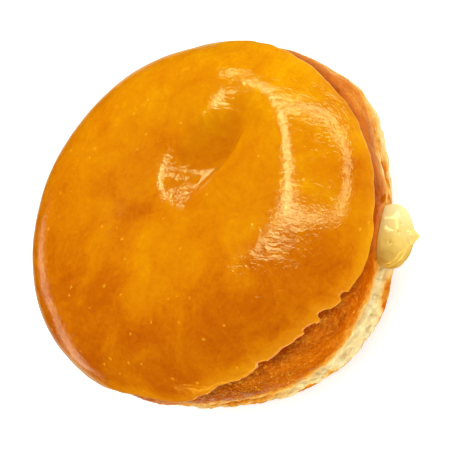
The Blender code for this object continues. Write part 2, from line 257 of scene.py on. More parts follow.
def on_dough(reach, turn, off=0.0):
    """The point of the dough's skin at this reach and turn, moved off it along the surface's normal, which
    is the cross product of the steps along the reach and round the turn."""

    def place(reach, turn):
        return uneven(np.interp(reach, REACH, RADIUS), np.interp(reach, REACH, HEIGHT), turn)

    step, swing = 0.25, 0.01
    along = place(reach + step, turn) - place(np.maximum(reach - step, 0.02), turn)
    ring = np.maximum(reach, 0.3)
    around = place(ring, turn + swing) - place(ring, turn - swing)
    normal = np.cross(along, around)
    normal /= np.linalg.norm(normal, axis=-1, keepdims=True)
    return place(reach, turn) + normal * np.asarray(off)[..., None]


def ripple(places, length, seed, waves=18):
    """An even roughness of about this wavelength: the sum of cosine waves through space in seeded
    directions, each 0.7 to 1.4 times as long, scaled to a root mean square of one."""
    chance = np.random.default_rng(seed)
    total = np.zeros(places.shape[:-1])
    for _ in range(waves):
        way = chance.normal(size=3)
        way *= 2 * np.pi / (length * chance.uniform(0.7, 1.4) * np.linalg.norm(way))
        total += np.cos(places @ way + chance.uniform(0, 2 * np.pi))
    return total * math.sqrt(2.0 / waves)


def roughness(places, layers):
    """The sum of ripples, each given by its wavelength, seed and height."""
    return sum(height * ripple(places, length, seed) for length, seed, height in layers)


def closed_skin(name, places):
    """A closed mesh of a grid of points, rings by turns in millimetres: each ring is joined to the next and
    round to itself by quads, and the first and the last ring are each closed by a fan to their middle."""
    rings, turns = places.shape[:2]
    poles = places[[0, -1]].mean(axis=1)
    points = np.vstack([places.reshape(-1, 3), poles]) * MM
    ring, turn = np.meshgrid(np.arange(rings - 1), np.arange(turns), indexing="ij")
    here, along = ring * turns + turn, (ring + 1) * turns + turn
    beside = (turn + 1) % turns - turn
    quads = np.stack([here, along, along + beside, here + beside], axis=-1).reshape(-1, 4)
    first = np.arange(turns)
    after = (first + 1) % turns
    top, base = rings * turns, rings * turns + 1
    last = (rings - 1) * turns
    fans = np.vstack(
        [
            np.stack([np.full(turns, top), first, after], axis=1),
            np.stack([last + first, np.full(turns, base), last + after], axis=1),
        ]
    )
    mesh = bpy.data.meshes.new(name)
    mesh.from_pydata(points.tolist(), [], quads.tolist() + fans.tolist())
    mesh.shade_smooth()
    mesh.update()
    return mesh


def tag(mesh, name, values):
    """Stores a number for each point of the skin, the poles taking their ring's mean."""
    poles = [values[0].mean(), values[-1].mean()]
    layer = mesh.attributes.new(name, "FLOAT", "POINT")
    layer.data.foreach_set("value", np.concatenate([values.ravel(), poles]).astype(np.float32))


def piece(name, mesh, material):
    """Puts a finished mesh in the scene as an object at the origin."""
    mesh.materials.append(material)
    obj = bpy.data.objects.new(name, mesh)
    bpy.context.scene.collection.objects.link(obj)
    return obj


def srgb(code, alpha=1.0):
    """A hex colour as linear red, green and blue."""
    parts = [int(code[i : i + 2], 16) / 255 for i in (0, 2, 4)]
    linear = [c / 12.92 if c <= 0.04045 else ((c + 0.055) / 1.055) ** 2.4 for c in parts]
    return (*linear, alpha)


def add(tree, kind, links=None, stops=None, **settings):
    """Adds a node. A setting named for an input sets it, any other sets the node's own property; links give
    an input's name or number and the output it takes, and stops the places and colours of a ramp."""
    made = tree.nodes.new("ShaderNode" + kind)
    for key, value in settings.items():
        if hasattr(made, key):
            setattr(made, key, value)
        else:
            made.inputs[key.replace("_", " ")].default_value = value
    if stops:
        ramp = made.color_ramp
        while len(ramp.elements) < len(stops):
            ramp.elements.new(0.5)
        for element, (place, code) in zip(ramp.elements, stops):
            element.position = place
            element.color = srgb(code)
    for socket, output in (links or {}).items():
        tree.links.new(output, made.inputs[socket])
    return made


def new_material(name):
    """An empty material and its node tree."""
    material = bpy.data.materials.new(name)
    material.use_nodes = True
    material.node_tree.nodes.clear()
    return material, material.node_tree


DOUGH_TURNS = 720
CRUST_START = (44.0, 48.0)
WAIST_MIDDLE = 3.6
WAIST_SPREAD = 3.0
BAND_DEPTH = 10.4
BAND_TOP = (0.4, 2.0)
BAND_FOOT = (BAND_DEPTH - 1.5, BAND_DEPTH + 1.0)
CREASE_DEPTH = 1.1
CREASE_REACH = 1.6
CREASE_SPREAD = 0.6
LIP_ROLL = 0.30
LIP_ROLL_REACH = -0.1
LIP_ROLL_SPREAD = 0.4
WRINKLE_DEPTH = 0.20
FLAT_EDGE = (BASE_REACH - 5.0, BASE_REACH - 1.0)
# The turn at which the crust came out smooth, the least share of the gloss's and of the relief's pebbling
# there, and the cosines of the angle from the opposite side between which it comes in
SMOOTH_TURN = 50.0
LEAST_PEBBLING = 0.12
LEAST_PEBBLES = 0.4
NEAR_SIDE = (-0.7, 0.2)

# Ripples, each as wavelength, seed and height
PEBBLES = ((1.7, 11, 0.050), (1.05, 12, 0.035))
SOFT_CRUST = ((6.0, 13, 0.09),)
LIP_UNEVENNESS = ((4.0, 16, 0.4),)
SOFT_WAIST = ((3.0, 17, 0.12),)
# The two nets of creases in the waist, each as wavelength, seed, half width and depth, and the slant of both
WAIST_CREASES = ((5.0, 14, 0.28, 1.0), (2.8, 15, 0.35, 0.6))
CREASE_SLANT = ((1.0, 0.0, 0.0), (0.0, 1.0, 0.0), (0.35, 0.2, 0.45))

# Browning, from 0 for raw white to 1 for dark brown
BROWN = 0.60
# Darker right under the glaze's edge: partly deeper browning, partly painted shade under the edge
UNDER_GLAZE_BROWN_AND_SHADE = 0.34
UNDER_GLAZE_START = 1.5
UNDER_GLAZE_REACH = 3.0
LIP_PALER = 0.30
LIP_PALER_REACH = (-4.5, -0.3)
LIP_LINE_PALER = 0.14
LIP_LINE_SPREAD = 0.45
PALE_START = (0.2, 1.2)
PALE_END_SPREAD = 0.8
LOWER_BROWN = 0.60
LOWER_START = 3.0
WAIST_BROWN = 0.03
CRUST_TONES = ((7.0, 21, 0.035), (2.2, 22, 0.02))
BAND_FOOT_LINE = ((7.0, 23, 0.8), (1.8, 24, 0.3))
LOWER_TONES = ((7.0, 25, 0.06),)
WAIST_TONES = ((3.0, 26, 0.03),)
# Painted shade in the fold under the lip and in the creases of the waist, with its unevenness
FOLD_TONES = ((6.0, 27, 0.3),)
FOLD_SHADE = 0.8
FOLD_SHADE_REACH = 2.4
FOLD_SHADE_SPREAD = 0.8
WRINKLE_SHADE = 0.34
WRINKLE_SHADE_TOP = (1.5, 3.0)
WRINKLE_SHADE_FOOT = (BAND_DEPTH - 2.0, BAND_DEPTH)

# Unbrowned and darker patches of the crust: turn, reach from the lip, degrees and reach they cover, amount.
# The first, a broad paler one at turn 60, is partly unbrowned crust and partly painted sheen.
CRUST_PATCHES_AND_SHEEN = (
    (60.0, -6.0, 20.0, 6.0, -0.22),
    (38.0, -9.0, 7.0, 3.0, -0.12),
    (52.0, -5.0, 5.0, 2.5, 0.10),
    (30.0, -4.0, 7.0, 3.0, 0.12),
    (88.0, -9.0, 9.0, 4.0, -0.12),
    (-30.0, -9.0, 14.0, 4.0, 0.12),
    (-52.0, -7.0, 8.0, 3.0, 0.12),
    (-70.0, -6.0, 12.0, 6.0, 0.20),
    (38.0, 0.3, 12.0, 1.6, 0.17),
)
# Stains on the pale waist, in the same form
BAND_STAINS = (
    (-15.0, 8.6, 5.0, 2.0, 0.5),
    (-46.0, 8.4, 2.2, 1.4, 0.35),
    (22.0, 5.5, 3.0, 2.2, 0.5),
    (15.0, 4.0, 9.0, 3.0, 0.35),
    (-80.0, 3.0, 18.0, 6.0, 0.6),
    (34.0, 2.5, 20.0, 3.5, 0.30),
    (20.0, 4.0, 12.0, 5.0, 0.30),
    (48.0, 4.0, 14.0, 5.0, 0.14),
)
# Where the side stands out or in from the round form: turn, height, degrees and height it covers, amount
SIDE_RELIEF = (
    (16.0, 9.0, 9.0, 6.0, -1.5),
    (-20.0, 8.0, 9.0, 5.0, 0.8),
    (-107.0, 19.0, 8.0, 7.0, 0.8),
    (46.0, 15.0, 8.0, 7.0, 1.0),
    (-52.0, 9.0, 9.0, 5.0, -0.45),
)


def patches(spots, past_lip, turn):
    """The sum of the patches at each place, each a bell over its turn and its reach from the lip."""
    added = np.zeros_like(turn)
    for centre, level, wide, tall, amount in spots:
        added += amount * bell(from_turn(turn, centre), 0, wide) * bell(past_lip, level, tall)
    return added


def slanted(places):
    """The places with their height squeezed and sheared, so that a ripple through them runs in folds that
    are upright and a little slanted."""
    return places @ np.array(CREASE_SLANT)


def waist_creases(places):
    """How deep in a crease of the gathered waist each place lies, from 0 to about 1.6: the sum of the nets,
    each a bell over the lines where a slanted ripple crosses its middle."""
    through = slanted(places)
    nets = [(depth, width, ripple(through, length, seed)) for length, seed, width, depth in WAIST_CREASES]
    return sum(depth * bell(net, 0.0, width) for depth, width, net in nets)


def pebbling(turn):
    """How much the crust is pebbled at a turn: fully on the near side, little on the smooth one."""
    near_side = smoothstep(-np.cos(turn - np.radians(SMOOTH_TURN)), *NEAR_SIDE)
    return LEAST_PEBBLING + (1 - LEAST_PEBBLING) * near_side


def crust_relief(reach, turn, places):
    """How far the skin stands off the smooth form: a fine pebbling where the fat blistered it, a soft
    unevenness, creases over the pale band, and a rolled edge on the lip. The base stays flat."""
    past_lip = reach - LIP_REACH
    crust = smoothstep(reach, *CRUST_START) * (1 - bell(past_lip, WAIST_MIDDLE, WAIST_SPREAD))
    pebbles = roughness(places, PEBBLES) * (LEAST_PEBBLES + (1 - LEAST_PEBBLES) * pebbling(turn))
    band = smoothstep(past_lip, *BAND_TOP) * (1 - smoothstep(past_lip, *BAND_FOOT))
    folds = roughness(slanted(places), SOFT_WAIST) - WRINKLE_DEPTH * waist_creases(places)
    edge = LIP_ROLL * bell(past_lip, LIP_ROLL_REACH, LIP_ROLL_SPREAD)
    edge = edge * (1 + roughness(places, LIP_UNEVENNESS))
    off = crust * (pebbles + roughness(places, SOFT_CRUST)) + band * folds + edge
    off = off - CREASE_DEPTH * bell(past_lip, CREASE_REACH, CREASE_SPREAD)
    height = np.interp(reach, REACH, HEIGHT)
    for centre, level, wide, tall, amount in SIDE_RELIEF:
        off = off + amount * bell(from_turn(turn, centre), 0.0, wide) * bell(height, level, tall)
    return off * (1 - smoothstep(reach, *FLAT_EDGE))


def browning(reach, turn, places, glaze_edge):
    """How brown the fat made the skin, from 0 to 1: deepest under the glaze's edge, where it is partly
    painted shade, paler towards the lip and in one patch that is partly painted sheen, none on the waist, and
    brown again on the lower lobe."""
    past_lip = reach - LIP_REACH
    past_glaze = np.maximum(reach - glaze_edge - UNDER_GLAZE_START, 0.0)
    brown = BROWN + UNDER_GLAZE_BROWN_AND_SHADE * np.exp(-past_glaze / UNDER_GLAZE_REACH)
    brown = brown - LIP_PALER * smoothstep(past_lip, *LIP_PALER_REACH)
    brown = brown - LIP_LINE_PALER * bell(past_lip, 0.0, LIP_LINE_SPREAD)
    # The patches include a broad paler one that is partly painted sheen
    brown = brown + patches(CRUST_PATCHES_AND_SHEEN, past_lip, turn) + roughness(places, CRUST_TONES)
    foot = BAND_DEPTH + roughness(places, BAND_FOOT_LINE)
    past_foot = smoothstep(past_lip, foot - PALE_END_SPREAD, foot + PALE_END_SPREAD)
    pale = smoothstep(past_lip, *PALE_START) * (1 - past_foot)
    brown = np.where(past_lip > LOWER_START, LOWER_BROWN + roughness(places, LOWER_TONES), brown)
    stain = WAIST_BROWN + roughness(places, WAIST_TONES) + patches(BAND_STAINS, past_lip, turn)
    return np.clip(brown * (1 - pale) + stain * pale, 0.0, 1.0)


def painted_crease_shade(reach, places):
    """How strongly painted shade darkens the fold under the lip and the creases of the waist, from 0 to 1."""
    past_lip = reach - LIP_REACH
    uneven_fold = (1 + roughness(places, FOLD_TONES)).clip(0, 1)
    fold = FOLD_SHADE * bell(past_lip, FOLD_SHADE_REACH, FOLD_SHADE_SPREAD) * uneven_fold
    in_band = smoothstep(past_lip, *WRINKLE_SHADE_TOP) * (1 - smoothstep(past_lip, *WRINKLE_SHADE_FOOT))
    return np.maximum(fold, WRINKLE_SHADE * in_band * waist_creases(places))


# The glaze's edge is needed first, because the crust is darkest beside it
GLAZE_THICKNESS = 0.9
GLAZE_BEAD = 0.4
GAP = 0.3
# How far the glaze comes down: turn, and reach of its edge
GLAZE_EDGE = (
    (-170, 57.5),
    (-150, 60.5),
    (-130, 58.0),
    (-116, 56.0),
    (-106, 54.0),
    (-99, 54.2),
    (-91, 57.3),
    (-84, 55.9),
    (-74, 52.8),
    (-64, 51.2),
    (-46, 49.5),
    (-36, 50.7),
    (-28, 52.6),
    (-19, 55.5),
    (-8, 57.0),
    (2, 55.0),
    (15, 54.8),
    (28, 53.6),
    (42, 50.6),
    (56, 48.3),
    (72, 48.5),
    (90, 51.5),
    (110, 56.0),
    (130, 60.0),
    (150, 58.5),
    (170, 55.5),
)
# Bites in the edge: turn, depth, and degrees to its far end on the right and on the left
GLAZE_NOTCHES = (
    (-24.2, 1.5, 1.5, 1.2),
    (-32.3, 1.25, 3.0, 1.1),
    (-38.2, 1.15, 3.2, 1.1),
    (-55.2, 1.2, 2.4, 1.3),
)


def glaze_reach(turn):
    """How far the glaze comes down at a turn: a smooth closed line through the edge points, less a round
    bite at each notch, whose depth is that of a quarter circle stretched to its end on either side."""
    first, last = GLAZE_EDGE[0], GLAZE_EDGE[-1]
    points = [(last[0] - 360.0, last[1]), *GLAZE_EDGE, (first[0] + 360.0, first[1])]
    line = smooth_line(points)
    reach = np.interp(from_turn(turn, 0.0), line[:, 0], line[:, 1])
    for place, depth, right_end, left_end in GLAZE_NOTCHES:
        from_notch = from_turn(turn, place)
        share = np.abs(from_notch) / np.where(from_notch > 0, right_end, left_end)
        reach = reach - depth * np.sqrt(np.clip(1 - share**2, 0.0, 1.0))
    return reach


def grid(reaches, turns):
    """Every reach, or share of one, with every turn, rings first."""
    return np.meshgrid(reaches, np.linspace(-np.pi, np.pi, turns, endpoint=False), indexing="ij")


# How far the first and the last ring lie from the middle of the dimple and of the base, which fans close
LEAST_REACH = 0.05
# Rings of the mesh as from, to and how many, closest where the lip and the waist show
DOUGH_RINGS = (
    (LEAST_REACH, CRUST_START[0], 12),
    (CRUST_START[0], LIP_REACH - 1.5, 44),
    (LIP_REACH - 1.5, LIP_REACH + 9.0, 40),
    (LIP_REACH + 9.0, BASE_REACH, 34),
)
BASE_RINGS = 5

dough_reaches = np.concatenate(
    [np.linspace(start, end, rings, endpoint=False) for start, end, rings in DOUGH_RINGS]
    + [np.linspace(BASE_REACH, REACH[-1] - LEAST_REACH, BASE_RINGS)]
)
reach, turn = grid(dough_reaches, DOUGH_TURNS)
smooth_skin = on_dough(reach, turn)
# The round form is moved level so that it fills the frame's box for the dough
box = np.array(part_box("dough")) / MM
SHIFT = (box.min(axis=0) + box.max(axis=0) - smooth_skin.min(axis=(0, 1)) - smooth_skin.max(axis=(0, 1))) / 2
SHIFT[2] = 0.0
skin = on_dough(reach, turn, crust_relief(reach, turn, smooth_skin)) + SHIFT
skin[..., 2] = np.maximum(skin[..., 2], 0.0)
dough_mesh = closed_skin("dough_skin", skin)
tag(dough_mesh, "browning", browning(reach, turn, smooth_skin, glaze_reach(turn)))
tag(dough_mesh, "pebbled", pebbling(turn))
# Painted shade for the fold under the lip and the creases of the waist
tag(dough_mesh, "crease", painted_crease_shade(reach, smooth_skin))

# Fried crust of yeast dough: starch browned in hot fat, with a thin film of fat on its fine wrinkles that
# gives small curled glints. Beside the glaze it is darkest: browned most, with painted shade under the
# glaze's edge. The waist never touched the fat long enough to brown and keeps the pale yellow of the crumb;
# its creases and the fold under the lip are painted a deeper olive yellow as shade.
CRUST_COLOURS = (
    (0.0, "F8E6AC"),
    (0.17, "F4CE80"),
    (0.34, "E89C34"),
    (0.56, "CF6600"),
    (0.78, "B65000"),
    (1.0, "8C3400"),
)
# Colour of the painted shade in the fold under the lip and in the waist's creases
PAINTED_CREASE_SHADE_COLOUR = "C08A2C"
crust, tree = new_material("fried_yeast_crust")
where = add(tree, "TexCoord").outputs["Object"]
brown = add(tree, "Attribute", attribute_name="browning").outputs["Fac"]
grain = add(tree, "TexNoise", {"Vector": where}, Scale=1 / (0.9 * MM), Detail=4.0, Roughness=0.65)
blotch = add(tree, "TexNoise", {"Vector": where}, Scale=1 / (4.0 * MM), Detail=3.0, Roughness=0.6)
fine = add(
    tree, "MapRange", {"Value": grain.outputs["Fac"]}, From_Min=0.3, From_Max=0.7, To_Min=-0.09, To_Max=0.09
)
broad = add(
    tree, "MapRange", {"Value": blotch.outputs["Fac"]}, From_Min=0.3, From_Max=0.7, To_Min=-0.04, To_Max=0.04
)
mottle = add(tree, "Math", {0: fine.outputs[0], 1: broad.outputs[0]}, operation="ADD")
even = add(tree, "MapRange", {"Value": brown}, From_Min=0.0, From_Max=0.45, To_Min=0.25, To_Max=1.0)
mottle = add(tree, "Math", {0: mottle.outputs[0], 1: even.outputs[0]}, operation="MULTIPLY")
toned = add(tree, "Math", {0: brown, 1: mottle.outputs[0]}, operation="ADD", use_clamp=True)
colour = add(tree, "ValToRGB", {"Fac": toned.outputs[0]}, stops=CRUST_COLOURS)
# Mixes the painted shade of the fold and the creases into the crust's colour
crease = add(tree, "Attribute", attribute_name="crease").outputs["Fac"]
shaded = add(tree, "Mix", {"Factor": crease}, data_type="RGBA")
tree.links.new(colour.outputs["Color"], shaded.inputs["A"])
shaded.inputs["B"].default_value = srgb(PAINTED_CREASE_SHADE_COLOUR)
curls = add(
    tree, "TexNoise", {"Vector": where}, Scale=1 / (1.5 * MM), Detail=1.0, Roughness=0.5, Distortion=1.6
)
pebbled = add(tree, "Attribute", attribute_name="pebbled").outputs["Fac"]
bump = add(tree, "Bump", {"Height": curls.outputs["Fac"], "Strength": pebbled}, Distance=0.3 * MM)
shader = add(
    tree,
    "BsdfPrincipled",
    {"Base Color": shaded.outputs["Result"], "Normal": bump.outputs[0]},
    Roughness=0.08,
    IOR=1.45,
)
shader.inputs["Specular IOR Level"].default_value = 0.5
shader.inputs["Subsurface Weight"].default_value = 0.18
shader.inputs["Subsurface Radius"].default_value = (1.0, 0.5, 0.2)
shader.inputs["Subsurface Scale"].default_value = 1.4 * MM
add(tree, "OutputMaterial", {"Surface": shader.outputs[0]})

dough = piece("dough_skin", dough_mesh, crust)
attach(dough, "root")
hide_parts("dough")

# The glaze: a thick sugar syrup poured over the warm dough and set. It is about a millimetre thick, pools to
# a rounded bead at its lower edge, and has four round bites in that edge on the near side.
GLAZE_TURNS = 720
TOP_RINGS = 112
UNDER_RINGS = 9
UNDER_START = -0.25
FIRST_SHARE = 0.002
LAST_SHARE = 0.01
GLAZE_SINK = -0.1
# The columns of the mesh crowd together towards this turn, where the edge has its bites
GATHER = 0.4
GATHER_TURN = -40.0
# Where the bead starts, and its section: reach from the edge and share of its full height off the dough
BEAD_START = -6.4
BEAD_LINE = (
    (-6.0, 0.757),
    (-5.2, 0.768),
    (-4.4, 0.792),
    (-3.7, 0.828),
    (-3.1, 0.869),
    (-2.6, 0.91),
    (-2.2, 0.945),
    (-1.8, 0.972),
    (-1.4, 0.985),
    (-1.05, 0.96),
    (-0.75, 0.9),
    (-0.5, 0.8),
    (-0.3, 0.66),
    (-0.15, 0.5),
    (-0.05, 0.32),
    (0.0, 0.12),
)

# Ripples of the edge and of the surface, each as wavelength, seed and height
EDGE_WAVES = ((7.0, 34, 0.25), (2.5, 35, 0.08))
GLAZE_WAVES = ((13.0, 31, 0.018), (5.0, 32, 0.008), (2.2, 33, 0.005))
PUCKER_WAVES = ((2.3, 37, 0.05),)
# Where the skin of the syrup puckered as it set: place from the axis and size
PUCKERS = ((7.5, 1.0, 3.2), (1.5, 0.5, 3.2))
# Where the syrup set a little thicker: place from the axis, size and height
GLAZE_SWELLINGS = (
    (2.4, -1.9, 2.0, 0.4),
    (7.3, 0.2, 2.0, 0.25),
    (22.0, -31.0, 6.0, 0.4),
    (-3.5, -37.0, 6.0, 0.4),
)
# Air bubbles that stood up in the syrup: place from the axis, radius of the ring left, its width and height
BUBBLES = (
    (11.4, -35.2, 0.9, 0.5, 0.08),
    (3.7, -18.3, 0.35, 0.35, 0.10),
    (21.2, -5.5, 0.0, 0.8, 0.30),
    (19.4, -2.7, 0.0, 0.5, 0.14),
    (8.9, -40.2, 0.0, 0.5, 0.10),
    (5.8, -35.8, 0.2, 0.35, 0.08),
    (5.0, -37.0, 0.0, 0.4, 0.08),
)
# Pinhead bubbles strewn over the top: how many, how far out, and their least and greatest width and height
SMALL_BUBBLES = 70
STREWN_TO = 38.0
SMALL_WIDTHS = (0.3, 0.5)
SMALL_HEIGHTS = (0.04, 0.12)
SMALL_SEED = 36


def level_distance(places, x, y):
    """How far each place lies from x and y, measured level."""
    return np.hypot(places[..., 0] - x, places[..., 1] - y)


def glaze_rings():
    """For each ring of the mesh its share of the way to the edge, its reach from the edge, and how far it
    stands off the dough: the top's rings, then the bead's, then those that run back underneath."""
    from_edge, height_share = np.array(BEAD_LINE).T
    full = GAP + GLAZE_THICKNESS + GLAZE_BEAD
    top = np.linspace(FIRST_SHARE, 1.0, TOP_RINGS, endpoint=False)
    under = np.linspace(1.0, LAST_SHARE, UNDER_RINGS)
    shares = np.concatenate([top, np.ones(len(BEAD_LINE)), under])
    backs = np.concatenate([np.full(TOP_RINGS, BEAD_START), from_edge, np.full(UNDER_RINGS, UNDER_START)])
    bead = GLAZE_SINK + height_share * (full - GLAZE_SINK)
    offs = np.concatenate([np.full(TOP_RINGS, GAP + GLAZE_THICKNESS), bead, np.full(UNDER_RINGS, GLAZE_SINK)])
    return shares, backs[:, None], offs[:, None]


def small_bubbles():
    """Pinhead bubbles in seeded places, in the same form as the listed ones."""
    chance = np.random.default_rng(SMALL_SEED)
    across = chance.uniform(-STREWN_TO, STREWN_TO, SMALL_BUBBLES)
    along = chance.uniform(-STREWN_TO, STREWN_TO, SMALL_BUBBLES)
    return [
        (x, y, 0.0, chance.uniform(*SMALL_WIDTHS), chance.uniform(*SMALL_HEIGHTS))
        for x, y in zip(across, along)
    ]


shares, backs, offs = glaze_rings()
share, turn = grid(shares, GLAZE_TURNS)
turn = turn - GATHER * np.sin(turn - np.radians(GATHER_TURN))
edge = glaze_reach(turn)
edge = edge + roughness(on_dough(edge, turn), EDGE_WAVES)
reach = share * (edge + backs)
outer = (np.arange(len(shares)) < TOP_RINGS + len(BEAD_LINE))[:, None]
plain = on_dough(reach, turn)
puckered = np.zeros_like(edge)
for x, y, size in PUCKERS:
    puckered = np.maximum(puckered, bell(level_distance(plain, x, y), 0.0, size))
flow = roughness(plain, GLAZE_WAVES) + puckered * roughness(plain, PUCKER_WAVES)
for x, y, size, height in GLAZE_SWELLINGS:
    flow += height * bell(level_distance(plain, x, y), 0.0, size)
for x, y, ring, size, height in (*BUBBLES, *small_bubbles()):
    flow += height * bell(level_distance(plain, x, y), ring, size)
off = offs + np.where(outer, flow * np.clip(offs, 0, 1), 0.0)
glaze_mesh = closed_skin("glaze_skin", on_dough(reach, turn, off) + SHIFT)

# Where the syrup lies deeper or thinner than around it: place from the axis, size, and change of depth. The
# first four, on the dimple's far wall, and the one at -2.5, 7.5 in the valley beside it deepen the colour
# partly as painted shade.
SYRUP_DEPTHS_AND_SHADE = (
    (15.0, 7.0, 6.0, 0.16),
    (15.5, 3.3, 3.5, 0.12),
    (20.0, -1.0, 5.0, 0.10),
    (18.0, -12.0, 5.0, 0.20),
    (21.0, -7.0, 4.0, -0.12),
    (12.0, -20.0, 5.0, 0.17),
    (30.0, -3.0, 5.0, 0.13),
    (12.0, 26.0, 8.0, -0.10),
    (-2.5, 7.5, 3.5, 0.12),
    (-3.5, 14.0, 4.0, 0.10),
    (-7.7, 15.6, 5.0, -0.12),
    (-10.5, 5.0, 5.0, -0.20),
    (-20.0, 0.0, 8.0, -0.20),
    (-15.5, -10.0, 5.0, -0.30),
    (-9.0, -21.0, 5.0, -0.14),
    (-16.0, -28.0, 5.0, 0.16),
    (-24.0, -25.0, 6.0, -0.06),
    (-20.0, -12.0, 5.0, 0.14),
    (-20.0, 16.0, 5.0, 0.06),
    (-28.0, 3.0, 4.5, -0.16),
    (-31.0, 4.0, 6.0, 0.10),
    (-31.0, -13.0, 7.0, 0.16),
    (-28.0, -30.0, 10.0, 0.24),
    (-12.0, -38.0, 9.0, 0.28),
    (-40.0, 5.0, 6.0, -0.16),
    (-40.1, -6.5, 3.5, 0.12),
    (5.6, -38.0, 6.0, -0.14),
    (12.0, -46.0, 8.0, 0.45),
    (28.0, -38.0, 7.0, 0.36),
)
# The colour deepens from the side towards the light to the opposite one, partly as painted shade
MIDDLE_DEPTH = 0.47
SIDE_DEPTH_AND_SHADE = 0.34
THIN_LIT_SIDE_TURN = 66.0
HALF_WIDTH = 45.0
# How much paler the syrup is where it thins out at the bead, and the turn at which it is palest
BEAD_PALER = 0.34
BEAD_PALER_REACH = -1.8
BEAD_PALER_SPREAD = 2.8
BEAD_PALEST_TURN = -70.0
# Where the bead and the light line along the edge lie, from the edge
BEAD_REACH = -1.6
BEAD_SPREAD = 1.5
RIM_SPREAD = 0.5


def syrup_depth_and_shade(places):
    """How deep the syrup's colour is, from 0 to 1: it ran from the thin side towards the opposite one, which
    is also the side away from the key light, so this deepening is partly painted shade; and it lies deeper or
    thinner in the listed places, some of them partly painted shade."""
    across, along = towards(THIN_LIT_SIDE_TURN)
    depth = MIDDLE_DEPTH - SIDE_DEPTH_AND_SHADE * (places[..., 0] * across + places[..., 1] * along) / HALF_WIDTH
    for x, y, size, amount in SYRUP_DEPTHS_AND_SHADE:
        depth += amount * bell(level_distance(places, x, y), 0.0, size)
    return depth


from_edge = reach - edge
thin = np.where(outer, bell(from_edge, BEAD_PALER_REACH, BEAD_PALER_SPREAD), 1.0)
thin = thin * (0.5 + 0.5 * np.cos(turn - np.radians(BEAD_PALEST_TURN)))
# Depth of colour, partly painted shade away from the light and in the dimple
tag(glaze_mesh, "depth", syrup_depth_and_shade(plain) - BEAD_PALER * thin)
# The pale line along the edge, partly thinner syrup and partly painted light where the edge curls under
tag(glaze_mesh, "rim", np.where(outer, bell(from_edge, 0.0, RIM_SPREAD), 1.0))
tag(glaze_mesh, "bead", np.where(outer, bell(from_edge, BEAD_REACH, BEAD_SPREAD), 1.0))
tag(glaze_mesh, "puckered", puckered)

# Set sugar glaze, amber from the egg and butter in it: a clear gloss over a deep colour that is darker
# where it is thick, yellower where it is thin, and darker still as painted shade on its side away from the
# light and on the dimple's far wall, with pinhead air bubbles caught in it, a pale line where its edge thins
# out that is partly painted light, and a finely wrinkled skin where it puckered.
SYRUP_COLOURS = ((0.0, "F0A602"), (0.25, "E28E02"), (0.5, "D97C02"), (0.75, "C96702"), (1.0, "B85202"))
BUBBLE_COLOUR = "FBB428"
# Pale edge colour: partly thinner syrup, partly painted light over the shade of the curled-under edge
EDGE_PALE_AND_LIGHT_COLOUR = "FFC488"
syrup, tree = new_material("set_sugar_glaze")
where = add(tree, "TexCoord").outputs["Object"]
clouds = add(
    tree, "TexNoise", {"Vector": where}, Scale=1 / (11.0 * MM), Detail=6.0, Roughness=0.65, Distortion=0.9
)
streaks = add(
    tree, "TexNoise", {"Vector": where}, Scale=1 / (1.6 * MM), Detail=4.0, Roughness=0.6, Distortion=1.2
)
drawn = add(tree, "Mapping", {"Vector": where})
drawn.inputs["Scale"].default_value = (1.0, 0.4, 1.0)
fine = add(
    tree,
    "TexNoise",
    {"Vector": drawn.outputs[0]},
    Scale=1 / (1.1 * MM),
    Detail=2.0,
    Roughness=0.5,
    Distortion=0.8,
)
depth = add(tree, "Attribute", attribute_name="depth").outputs["Fac"]
cloud = add(
    tree, "MapRange", {"Value": clouds.outputs["Fac"]}, From_Min=0.3, From_Max=0.7, To_Min=-0.20, To_Max=0.20
)
streak = add(
    tree, "MapRange", {"Value": streaks.outputs["Fac"]}, From_Min=0.3, From_Max=0.7, To_Min=-0.10, To_Max=0.10
)
tone = add(tree, "Math", {0: cloud.outputs[0], 1: streak.outputs[0]}, operation="ADD")
tone = add(tree, "Math", {0: tone.outputs[0], 1: depth}, operation="ADD", use_clamp=True)
colour = add(tree, "ValToRGB", {"Fac": tone.outputs[0]}, stops=SYRUP_COLOURS)
warp = add(tree, "TexNoise", {"Vector": where}, Scale=1 / (0.7 * MM), Detail=1.0)
wobble = add(tree, "VectorMath", {0: warp.outputs["Color"]}, operation="SCALE", Scale=0.9 * MM)
bent = add(tree, "VectorMath", {0: where, 1: wobble.outputs[0]}, operation="ADD")
bubbles = add(tree, "TexVoronoi", {"Vector": bent.outputs[0]}, Scale=1 / (2.9 * MM))
lot = add(tree, "SeparateColor", {"Color": bubbles.outputs["Color"]})
rare = add(tree, "Math", {0: lot.outputs[0]}, operation="GREATER_THAN")
rare.inputs[1].default_value = 0.6
round_spot = add(
    tree,
    "MapRange",
    {"Value": bubbles.outputs["Distance"]},
    From_Min=0.05,
    From_Max=0.17,
    To_Min=0.7,
    To_Max=0.0,
)
speck = add(tree, "Math", {0: round_spot.outputs[0], 1: rare.outputs[0]}, operation="MULTIPLY")
speckled = add(tree, "Mix", {"Factor": speck.outputs[0]}, data_type="RGBA")
tree.links.new(colour.outputs["Color"], speckled.inputs["A"])
speckled.inputs["B"].default_value = srgb(BUBBLE_COLOUR)
